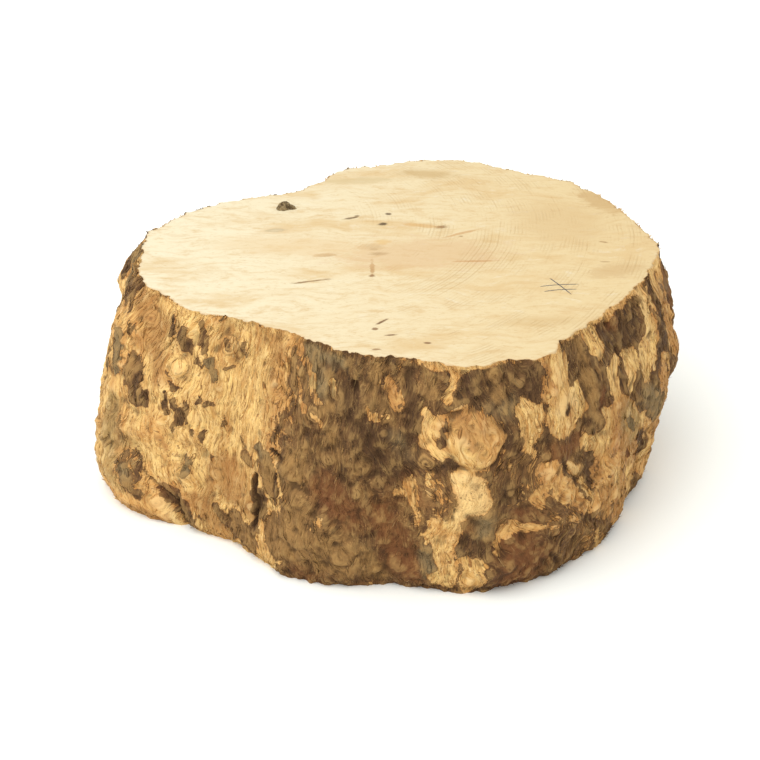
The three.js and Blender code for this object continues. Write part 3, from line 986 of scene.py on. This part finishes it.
def body_mesh():
    """The wall's grid, closed by a flat sawn face above and below."""
    upper_rings, lower_rings = cut_rings(wall[-1], TOP), cut_rings(wall[0], 0.0)
    points = np.concatenate([wall.reshape(-1, 3), *upper_rings, *lower_rings])
    inner = len(CUT_RINGS) - 1
    first_upper = (ROWS + 1) * SEGMENTS
    first_lower = first_upper + inner * SEGMENTS
    rim = ROWS * SEGMENTS
    column = np.arange(SEGMENTS)
    beside = (column + 1) % SEGMENTS
    wall_faces = grid_faces(ROWS + 1)
    upper = [np.stack([rim + column, rim + beside, first_upper + beside, first_upper + column], axis=-1),
             grid_faces(inner, first_upper)]
    lower = [np.stack([beside, column, first_lower + column, first_lower + beside], axis=-1),
             grid_faces(inner, first_lower)[:, ::-1]]
    last_upper = first_upper + (inner - 1) * SEGMENTS
    last_lower = first_lower + (inner - 1) * SEGMENTS
    polygons = np.concatenate([wall_faces, *upper, *lower]).tolist()
    polygons += [(last_upper + column).tolist(), (last_lower + column[::-1]).tolist()]
    kinds = [WALL_FACE] * len(wall_faces)
    kinds += [UPPER_FACE] * sum(map(len, upper)) + [LOWER_FACE] * sum(map(len, lower))
    kinds += [UPPER_FACE, LOWER_FACE]
    mesh = new_mesh("burl_body", points, polygons)
    mesh.polygons.foreach_set("material_index", kinds)
    mesh.shade_smooth()
    mesh.set_sharp_from_angle(angle=math.radians(SHARP_ANGLE))
    return mesh


def give(mesh, name, kind, values):
    """Gives a mesh a value at each point, or at its first points, with zeros at the rest."""
    attribute = mesh.attributes.new(name, kind, "POINT")
    values = np.asarray(values, float).reshape(len(values), -1)
    rest = np.zeros((len(mesh.vertices) - len(values), values.shape[1]))
    socket = {"FLOAT": "value", "FLOAT_VECTOR": "vector", "FLOAT_COLOR": "color"}[kind]
    attribute.data.foreach_set(socket, np.concatenate([values, rest]).astype(np.float32).ravel())


def flat(grid):
    return grid.reshape(WALL_HEIGHT.size, -1)


def edge_distances():
    """How far each point of the body's wall and sawn faces is from the edge of the nearer cut."""
    distances = [np.zeros(WALL_HEIGHT.size)]
    for rim in (radii[-1], radii[0]):
        distances += [rim * (1 - share) for share in CUT_RINGS[1:]]
    return np.concatenate(distances)


# The body's map holds the wall in two strips, the upper cut at the same scale and the lower cut at half of
# it, in millimetres.
MAP_SIDE = 672.0
STRIPS_AT = (2.0, 1.0)
STRIP_HEIGHT = 160.0
UPPER_CUT_AT = (210.0, 498.0)
LOWER_CUT_AT = (510.0, 410.0)


def lay_out(mesh):
    """Gives the body its map."""
    layer = mesh.uv_layers.new(name="OFBake")
    points = np.array([v.co for v in mesh.vertices]) / MM
    columns_in_strip = SEGMENTS // 2
    step_round = 2 * math.pi * GIRTH / SEGMENTS
    places = np.zeros((len(mesh.loops), 2))
    corner = 0
    for polygon in mesh.polygons:
        for index, vertex in enumerate(polygon.vertices):
            if polygon.material_index == WALL_FACE:
                row, column = divmod(polygon.vertices[0], SEGMENTS)
                strip, column = divmod(column, columns_in_strip)
                u = (column + (index in (1, 2))) * step_round + STRIPS_AT[0]
                v = (row + (index > 1)) * TOP / ROWS + strip * STRIP_HEIGHT + STRIPS_AT[1]
            elif polygon.material_index == UPPER_FACE:
                u, v = UPPER_CUT_AT + points[vertex, :2]
            else:
                u, v = LOWER_CUT_AT + points[vertex, :2] / 2
            places[corner] = (u, v)
            corner += 1
    layer.data.foreach_set("uv", (places / MAP_SIDE).ravel())


def add_piece(mesh):
    piece = bpy.data.objects.new(mesh.name, mesh)
    bpy.context.scene.collection.objects.link(piece)
    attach(piece, BODY)
    return piece


def make_body(material):
    mesh = body_mesh()
    give(mesh, "grain", "FLOAT_VECTOR", flat(grain))
    give(mesh, "skin", "FLOAT_COLOR", flat(np.moveaxis(fields, 0, -1)))
    give(mesh, "eye", "FLOAT_VECTOR", flat(np.stack([ring, plainness, 0 * ring], axis=-1)))
    give(mesh, "cavity", "FLOAT", flat(cavity))
    give(mesh, "edge", "FLOAT", edge_distances())
    lay_out(mesh)
    mesh.materials.append(material)
    mesh.materials.append(sawn_material("sawn_upper", CUT_MARKS, 0.0))
    mesh.materials.append(sawn_material("sawn_lower", [], 0.35))
    body = add_piece(mesh)
    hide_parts(NODE)


# Loose fibres and flakes, each a closed blade with three sides and two tips, laid along the grain.
STATIONS = np.linspace(0, 1, 5)
ARCHED = np.sin(math.pi * STATIONS)  # both tips are sunk in the wall
RAISED = STATIONS**1.6  # one tip stands clear of it
RAISED_BY = 5.0  # how much further than an arch
WIDTHS = np.array([0.0, 0.85, 1.0, 0.7, 0.0])
STATION_OF_POINT = np.array([0, 1, 1, 1, 2, 2, 2, 3, 3, 3, 4])
BLADE_SUNK = 0.35  # as a share of its thickness
BLADE_HEIGHTS = (0.3, TOP + 0.8)
GRAIN_SHIFT = 4.0  # how far a blade's own grain is from that of the wall under it
HOLLOWS_SEEN = 0.5  # how much a blade is shaded by the hollow that it lies over

# How far the grain leans, sideways for each millimetre up.
grain_across = np.gradient(flow_across, 2 * math.pi * GIRTH / SEGMENTS, axis=1)
grain_up = np.gradient(flow_across, TOP / ROWS, axis=0)
LEAN = np.clip(-grain_up / np.clip(1 + grain_across, 0.35, 3), -1.6, 1.6)


def blade_points(draw, direction, height, length, width, thickness, lift, raised, skew):
    """The points of blades that start at places on the wall and follow the grain, and the places that their
    stations are at."""
    count = len(direction)
    tilt = draw.normal(0, skew, count)
    curl = draw.normal(0, skew, count)
    stand = np.where((draw.random(count) < raised)[:, None], RAISED_BY * RAISED, ARCHED)
    path = []
    places = []
    for index, station in enumerate(STATIONS):
        base = sample(wall, direction, height)
        outward = sample(normals, direction, height)
        path.append(base + outward * (lift * stand[:, index] - BLADE_SUNK * thickness)[:, None])
        places.append((direction, height))
        stride = length / (len(STATIONS) - 1)
        slope = sample(LEAN, direction, height) + tilt + curl * station
        unit = np.sqrt(1 + slope**2)
        direction = direction + np.degrees(slope * stride / unit / GIRTH)
        height = np.clip(height + stride / unit, *BLADE_HEIGHTS)
    path = np.stack(path, axis=1)
    along = np.gradient(path, axis=1)
    along /= np.linalg.norm(along, axis=-1, keepdims=True) + 1e-9
    outward = np.stack([sample(normals, *place) for place in places], axis=1)
    across = np.cross(outward, along)
    across /= np.linalg.norm(across, axis=-1, keepdims=True) + 1e-9
    half = (0.5 * width[:, None] * WIDTHS)[..., None]
    rise = (thickness[:, None] * WIDTHS)[..., None]
    ridge = path + np.cross(along, across) * rise
    sides = np.stack([path + across * half, ridge, path - across * half], axis=2)
    middle = sides[:, 1:-1].reshape(count, -1, 3)
    return np.concatenate([path[:, :1], middle, path[:, -1:]], axis=1), places


def blade_faces():
    """The faces of one blade: a tip, three rings of three points, and a tip."""
    faces = []
    for i in range(3):
        after = (i + 1) % 3
        faces.append((0, 1 + after, 1 + i))
        faces.append((10, 7 + i, 7 + after))
        for ring_start in (1, 4):
            low, low_after = ring_start + i, ring_start + after
            faces.append((low, low_after, low_after + 3))
            faces.append((low, low_after + 3, low + 3))
    return np.array(faces)


def spread(draw, count, chance):
    """So many places on the wall, likelier where the chance is higher."""
    found = np.zeros((2, 0))
    tries = 20000
    while found.shape[1] < count:
        places = np.stack([draw.uniform(0, 360, tries), draw.uniform(0.5, TOP - 1, tries)])
        kept = draw.random(tries) < chance(*places)
        found = np.concatenate([found, places[:, kept]], axis=1)
    return found[:, :count]


def make_blades(name, material, chance, seed, count,
                length, width, flatness, lift, raised, skew, shade):
    """A piece of many blades that match the wall under them. The length, width and lift are the least and
    the most, the shade is a mean and a spread, and raised is the share of blades with one tip clear of the
    wall."""
    draw = np.random.default_rng(seed)
    direction, height = spread(draw, count, chance)
    lengths = draw.uniform(*length, count)
    widths = draw.uniform(*width, count)
    lifts = draw.uniform(*lift, count)
    thicknesses = widths * flatness
    points, places = blade_points(draw, direction, height, lengths, widths, thicknesses, lifts, raised, skew)
    offsets = np.arange(count)[:, None, None] * points.shape[1]
    faces = (blade_faces()[None] + offsets).reshape(-1, 3)
    mesh = new_mesh(name, points.reshape(-1, 3), faces.tolist())
    mesh.shade_smooth()

    def spread_out(grid):
        values = np.stack([sample(grid, *place) for place in places], axis=1)
        return values[:, STATION_OF_POINT]

    own_grain = spread_out(grain) + draw.normal(0, GRAIN_SHIFT, (count, 1, 3))
    own_skin = spread_out(np.moveaxis(fields, 0, -1))
    strand = np.repeat(draw.normal(*shade, count)[:, None], len(STATION_OF_POINT), axis=1)
    give(mesh, "grain", "FLOAT_VECTOR", own_grain.reshape(-1, 3))
    give(mesh, "skin", "FLOAT_COLOR", own_skin.reshape(-1, 4))
    give(mesh, "eye", "FLOAT_VECTOR", np.tile((NO_EYE, 0.0, 0.0), (len(mesh.vertices), 1)))
    give(mesh, "cavity", "FLOAT", HOLLOWS_SEEN * spread_out(cavity).reshape(-1))
    give(mesh, "strand", "FLOAT", strand.reshape(-1))
    mesh.materials.append(material)
    return add_piece(mesh)


def near(direction, centre, reach):
    """1 at one direction, falling to nothing a few times the reach away from it."""
    return bell((direction - centre + 180) % 360 - 180, reach)


def make_fibres(material):
    def on_wood(direction, height):
        return 0.75 * (1 - sample(bark, direction, height)) + 0.08

    def on_bark(direction, height):
        return 0.5 * sample(bark, direction, height) + 0.05

    def at_edges(direction, height):
        cover = sample(bark, direction, height)
        return 0.48 * cover * (1 - cover) + 0.25 * near(direction, 182, 16) * step(40, 150, height) + 0.01

    def at_rim(direction, height):
        return step(TOP - 9, TOP - 2, height)

    def at_foot(direction, height):
        return step(9, 2, height)

    make_blades(
        "wood_fibres", material, on_wood, seed=101, count=6000, length=(4, 13),
        width=(0.25, 0.7), flatness=0.5, lift=(0.0, 0.35), raised=0.12, skew=0.14, shade=(0.0, 0.22))
    make_blades(
        "bark_fibres", material, on_bark, seed=102, count=5000, length=(3, 9),
        width=(0.3, 0.8), flatness=0.5, lift=(0.0, 0.4), raised=0.16, skew=0.2, shade=(0.0, 0.22))
    make_blades(
        "bark_flakes", material, at_edges, seed=103, count=1100, length=(4, 12),
        width=(1.2, 3.4), flatness=0.2, lift=(0.1, 0.6), raised=0.3, skew=0.2, shade=(-0.15, 0.15))
    make_blades(
        "rim_fibres", material, at_rim, seed=104, count=900, length=(1.5, 4.5),
        width=(0.3, 0.8), flatness=0.45, lift=(0.1, 0.5), raised=0.7, skew=0.4, shade=(0.0, 0.2))
    make_blades(
        "foot_fibres", material, at_foot, seed=105, count=1400, length=(2, 6),
        width=(0.3, 0.9), flatness=0.45, lift=(0.1, 0.6), raised=0.4, skew=0.4, shade=(-0.1, 0.3))


# The scrap of ingrown bark that stands out of the upper cut.
POCKET_AT = (-72.2, 74.8)
POCKET_SIZE = (7.6, 5.4)
POCKET_RISE = 6.3
POCKET_SUNK = 0.6
POCKET_GRID = (64, 16)  # round and outward


def pocket_mesh():
    across, rings = POCKET_GRID
    share, turn = np.meshgrid(np.linspace(0, 1, rings), np.arange(across) * 2 * math.pi / across)
    share, turn = share.T, turn.T
    edge = np.stack([np.cos(turn), np.sin(turn), 0 * turn], axis=-1)
    ragged = 0.9 + 0.12 * np.cos(3 * turn + 0.6)
    ragged = ragged + 0.25 * noise(edge * 2.2 + 7, 201) + 0.12 * noise(edge * 6 + 3, 202)
    x = share * ragged * POCKET_SIZE[0] * np.cos(turn)
    y = share * ragged * POCKET_SIZE[1] * np.sin(turn)
    place = np.stack([x, y, 0 * x], axis=-1)
    mound = 5.2 - 0.34 * np.hypot(x + 0.6, y - 1.2)
    folds = 1.5 * noise(place / 3.4, 203) + 0.9 * noise(place / 1.6, 204)
    crevices = 2.6 * bell(x - 0.4 + 0.9 * y, 0.7) + 1.8 * bell(x - 3.6 - 0.5 * y, 0.6)
    z = TOP - POCKET_SUNK + np.clip((mound + folds - crevices) * (1 - share**6), 0, POCKET_RISE)
    points = np.stack([x + POCKET_AT[0], y + POCKET_AT[1], z], axis=-1).reshape(-1, 3)
    middle = points[:across].mean(axis=0)
    floor = np.array([*POCKET_AT, TOP - 1.5 * POCKET_SUNK])
    points = np.concatenate([[middle], points[across:], [floor]])
    column = np.arange(across)
    beside = (column + 1) % across
    faces = [(0, 1 + a, 1 + b) for a, b in zip(column, beside)]
    for ring_index in range(rings - 2):
        near_a, near_b = 1 + ring_index * across + column, 1 + ring_index * across + beside
        faces += zip(near_a, near_a + across, near_b + across, near_b)
    outer = 1 + (rings - 2) * across
    faces += [(outer + a, len(points) - 1, outer + b) for a, b in zip(column, beside)]
    mesh = new_mesh("bark_pocket", points, faces)
    mesh.shade_smooth()
    return mesh


def make_pocket():
    mesh = pocket_mesh()
    s = Shader("pocket_bark", TOP_LIGHT)
    spot = s.place()
    lumps = s.noise(spot, 3, 4.0, 0.65)
    grains = s.noise(s.moved(spot, 3, (2, 2, 2)), 1.0, 3.0, 0.65)
    colour = s.mix(s.seen(96, 76, 48), s.seen(172, 148, 106), s.ramp(lumps, 0.38, 0.6))
    colour = s.layered(colour, [
        ((200, 176, 130), grains, 0.54, 0.7, 0.6),
        ((54, 40, 26), grains, 0.44, 0.32, 0.8),
    ])
    normal = s.bump(s.total((lumps, 1.0), (grains, 0.5)), 1.6)
    mesh.materials.append(s.finish(colour, 0.85, normal))
    add_piece(mesh)


# Plain pencil strokes on the upper cut, as the three points that each passes through.
PENCIL_STROKES = [
    [(97, -46), (108, -43.6), (122, -42.6)],
    [(99, -53), (109, -50.4), (120, -49.8)],
    [(104, -34), (109, -43), (116, -57)],
]
PENCIL_WIDTH = 0.75
PENCIL_HEIGHT = 0.08
PENCIL_STATIONS = 17


def pencil_mesh():
    points, faces = [], []
    for stroke in PENCIL_STROKES:
        share = np.linspace(0, 1, PENCIL_STATIONS)[:, None]
        first, second, third = map(np.array, stroke)
        bend = (4 * second - first - third) * share * (1 - share)
        line = first * (1 - share) ** 2 + bend + third * share**2
        along = np.gradient(line, axis=0)
        side = np.stack([-along[:, 1], along[:, 0]], axis=-1) / np.linalg.norm(along, axis=1)[:, None]
        half = PENCIL_WIDTH / 2 * np.clip(np.minimum(share, 1 - share) * 12, 0.25, 1)
        start = len(points)
        for height in (TOP - PENCIL_HEIGHT, TOP + PENCIL_HEIGHT):
            for edge in (line - side * half, line + side * half):
                points += [(x, y, height) for x, y in edge]
        corners = [start + PENCIL_STATIONS * i for i in (0, 2, 3, 1)]
        rings = [tuple(corner + i for corner in corners) for i in range(PENCIL_STATIONS)]
        for ring_a, ring_b in zip(rings, rings[1:]):
            for i in range(4):
                after = (i + 1) % 4
                faces.append((ring_a[i], ring_b[i], ring_b[after], ring_a[after]))
        faces += [rings[0], rings[-1][::-1]]
    return new_mesh("pencil_strokes", points, faces)


def make_pencil():
    mesh = pencil_mesh()
    s = Shader("pencil_lead", TOP_LIGHT)
    grains = s.noise(s.place(), 0.8, 2.0)
    lead = s.mix(s.seen(92, 92, 96), s.seen(170, 156, 128), s.ramp(grains, 0.5, 0.66))
    mesh.materials.append(s.finish(lead, 0.6))
    add_piece(mesh)


# The camera looks down at the slice from the front, at the photograph's angle.
CAMERA_TARGET = (-5.89, -34.29, 80.0)
CAMERA_DISTANCE = 1200.0
CAMERA_ELEVATION = 30.0
CAMERA_LENS = 85.0

FLOOR_REACH = 30000.0
FLOOR_COLOUR = (0.91, 0.92, 0.87, 1)

# The soft lamp over the left front, in metres and watts, in an even white room.
LAMP_PLACE = Vector((-1.0, -0.95, 2.1))
LAMP_TARGET = Vector((0, 0, 0.08))
LAMP_SIZE = 2.8
LAMP_POWER = 52.0
ROOM_STRENGTH = 1.03


def make_camera():
    data = bpy.data.cameras.new("camera")
    data.lens = CAMERA_LENS
    camera = bpy.data.objects.new("camera", data)
    bpy.context.scene.collection.objects.link(camera)
    elevation = math.radians(CAMERA_ELEVATION)
    back = Vector((0, -math.cos(elevation), math.sin(elevation)))
    camera.location = (Vector(CAMERA_TARGET) + back * CAMERA_DISTANCE) * MM
    camera.rotation_euler = (-back).to_track_quat("-Z", "Y").to_euler()
    bpy.context.scene.camera = camera


def make_stage():
    signs = [(-1, -1, 0), (1, -1, 0), (1, 1, 0), (-1, 1, 0)]
    mesh = new_mesh("floor", FLOOR_REACH * np.array(signs), [(0, 1, 2, 3)])
    mesh.materials.append(Shader("floor", 1.0).finish(FLOOR_COLOUR, 0.9))
    floor = bpy.data.objects.new("floor", mesh)
    bpy.context.scene.collection.objects.link(floor)


def make_light():
    scene = bpy.context.scene
    scene.view_settings.view_transform = "Standard"
    world = bpy.data.worlds.new("studio")
    world.use_nodes = True
    background = world.node_tree.nodes["Background"]
    background.inputs["Color"].default_value = (1, 1, 1, 1)
    background.inputs["Strength"].default_value = ROOM_STRENGTH
    scene.world = world
    data = bpy.data.lights.new("key", "AREA")
    data.size = LAMP_SIZE
    data.energy = LAMP_POWER
    lamp = bpy.data.objects.new("key", data)
    scene.collection.objects.link(lamp)
    lamp.location = LAMP_PLACE
    lamp.rotation_euler = (LAMP_TARGET - LAMP_PLACE).to_track_quat("-Z", "Y").to_euler()


make_camera()
make_stage()
make_light()
wall_look = wall_material()
make_body(wall_look)
make_fibres(wall_look)
make_pocket()
make_pencil()
